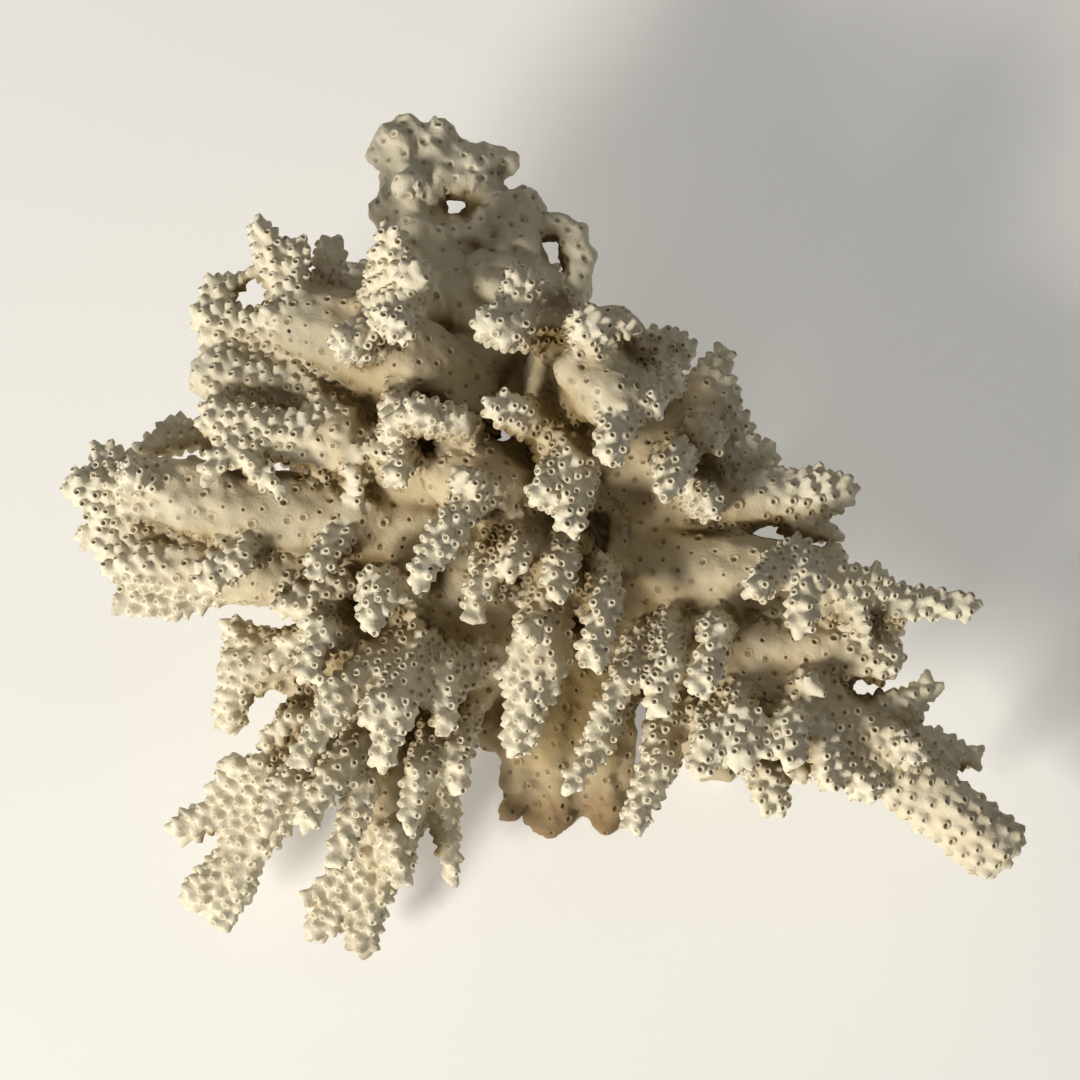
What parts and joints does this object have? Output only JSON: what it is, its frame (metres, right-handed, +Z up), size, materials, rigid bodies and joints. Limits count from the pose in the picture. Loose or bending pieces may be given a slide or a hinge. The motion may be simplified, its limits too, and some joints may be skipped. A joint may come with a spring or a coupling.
{
  "type": "branching coral",
  "caption": "Bleached branching coral skeleton: a low leaning crown of stout, pore-pitted limbs thick with rough finger branchlets, on a lobed holdfast cut off flat to stand on.",
  "frame": {"origin": "middle of the flat cut under the holdfast, on the plane that the coral stands on", "axes": "+Z up off the cut; +X across the crown, along its longest extent; the crown's face leans 20 degrees from level toward -Y, which is the front"},
  "size_m": [0.1485, 0.1301, 0.0669],
  "materials": {
    "coral": "matt, chalky, finely pitted"
  },
  "bodies": {
    "root": {"holdfast": "coral", "left_limb": "coral", "left_shelf_limb": "coral", "upper_left_limb": "coral", "top_limb": "coral", "top_arch_limb": "coral", "crest_limb": "coral", "upper_right_limb": "coral", "upper_side_limb": "coral", "right_limb": "coral", "lower_right_limb": "coral", "right_fan_limb": "coral", "centre_limb": "coral", "lower_left_limb": "coral", "lower_limb": "coral"}
  },
  "joints": []
}
